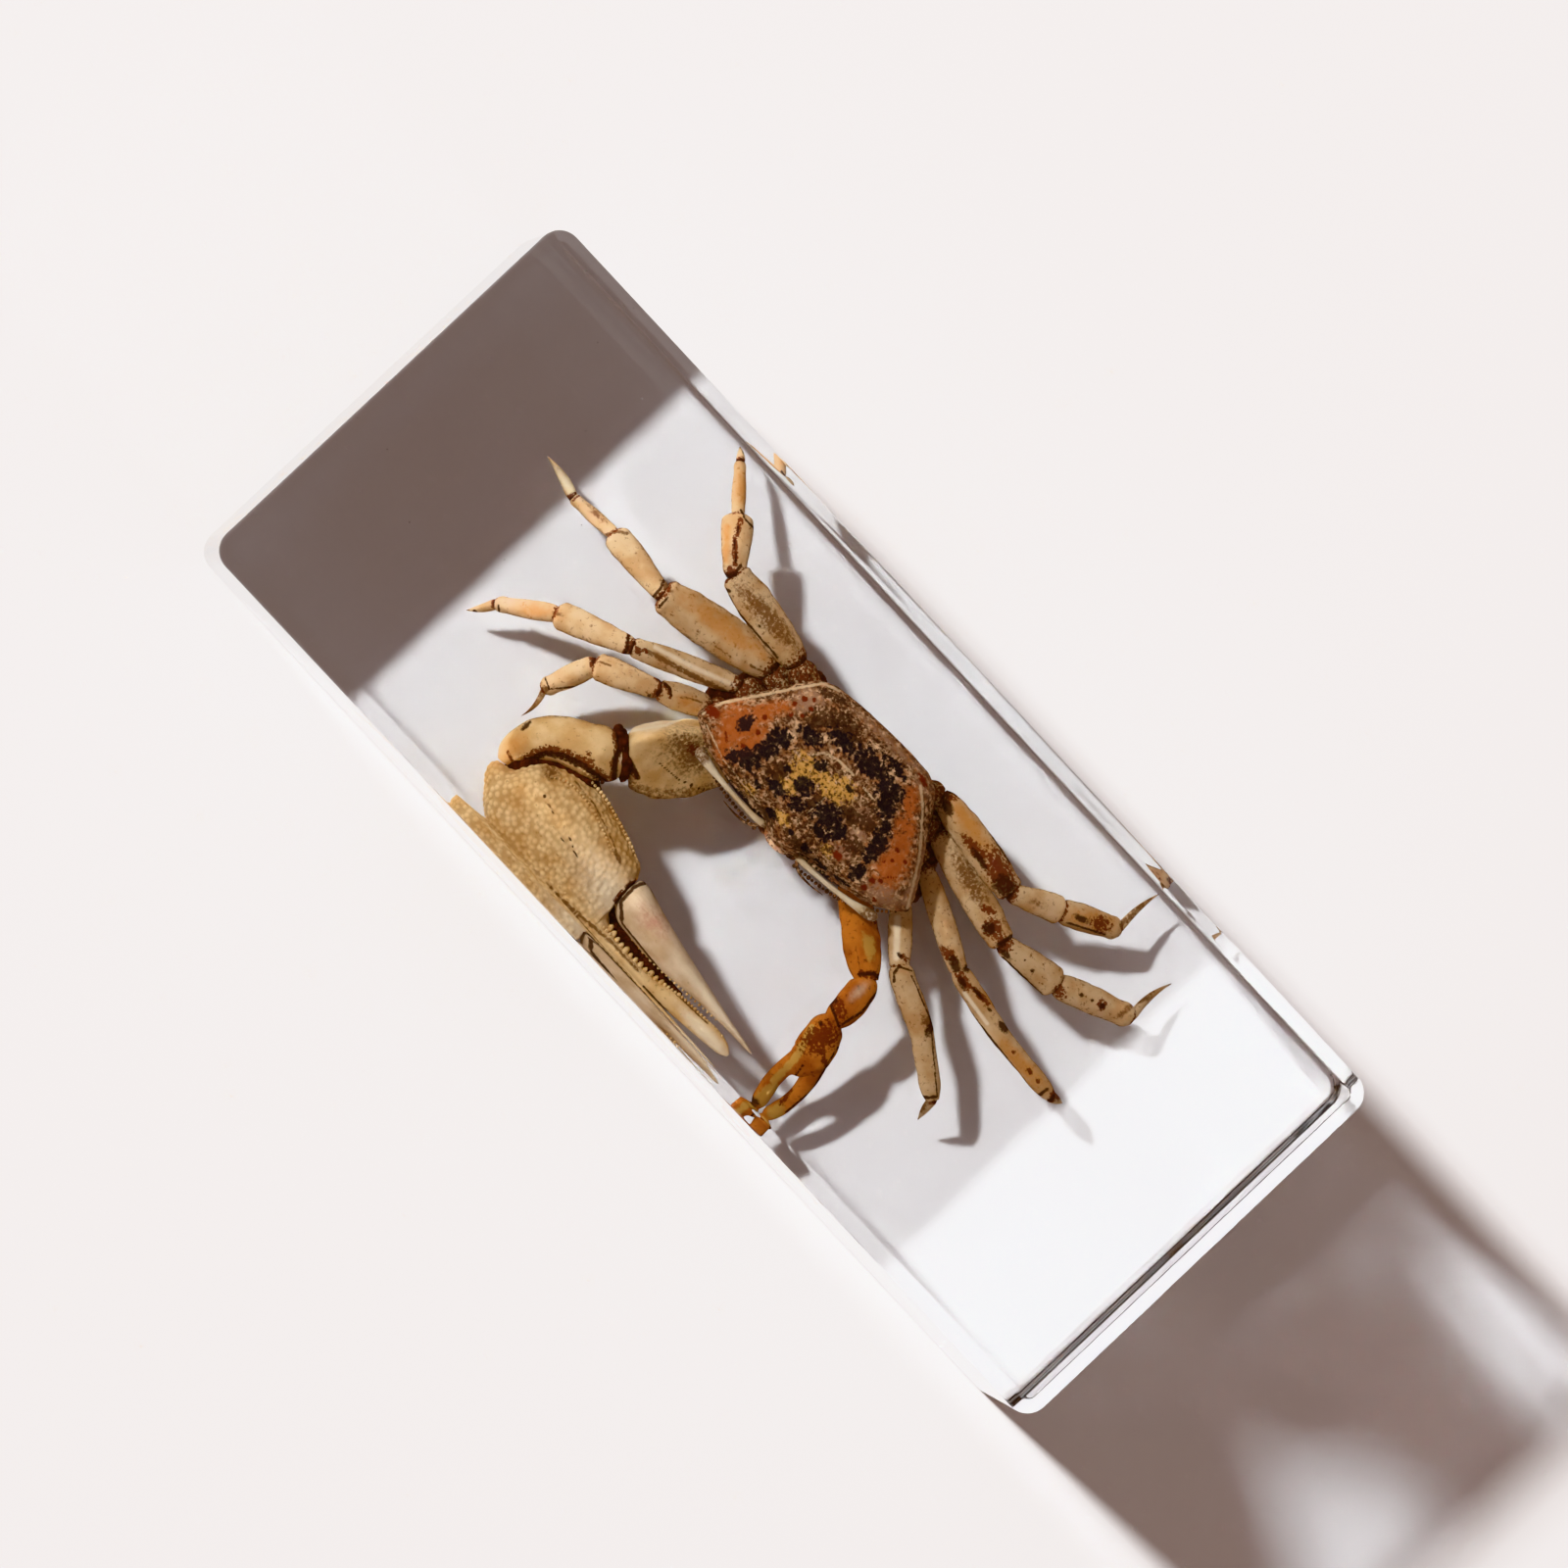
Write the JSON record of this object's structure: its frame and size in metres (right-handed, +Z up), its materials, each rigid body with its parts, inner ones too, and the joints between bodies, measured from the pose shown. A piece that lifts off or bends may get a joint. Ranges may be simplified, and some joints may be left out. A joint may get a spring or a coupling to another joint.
{
  "type": "crab in resin block",
  "caption": "Clear cast resin block, a long chamfered cuboid, with a dried fiddler-type crab sealed inside: one large claw, one slender claw and spread walking legs.",
  "frame": {"origin": "middle of the flat face that the block rests on", "axes": "+X along the block's length, away from the end that the big claw's wrist is nearer to; +Y towards the crab's back edge; +Z up, towards the crab's carapace"},
  "size_m": [0.111, 0.0446, 0.028],
  "materials": {
    "clear_resin": "cast and polished, water clear",
    "carapace": "dried crab shell, mottled brown and orange",
    "big_claw_shell": "dried crab shell, pale tan and finely grained",
    "small_claw_shell": "dried crab shell, amber brown",
    "leg_shell": "dried crab shell, tan with dark red joints"
  },
  "bodies": {
    "root": {"resin_lower_half": "clear_resin", "resin_upper_half": "clear_resin", "crab_body": "carapace", "big_claw_arm": "big_claw_shell", "big_claw_wrist": "big_claw_shell", "big_claw_hand": "big_claw_shell", "big_claw_finger": "big_claw_shell", "small_claw": "small_claw_shell", "leg_left_1": "leg_shell", "leg_left_2": "leg_shell", "leg_left_3": "leg_shell", "leg_left_4": "leg_shell", "leg_right_1": "leg_shell", "leg_right_2": "leg_shell", "leg_right_3": "leg_shell", "leg_right_4": "leg_shell"}
  },
  "joints": []
}
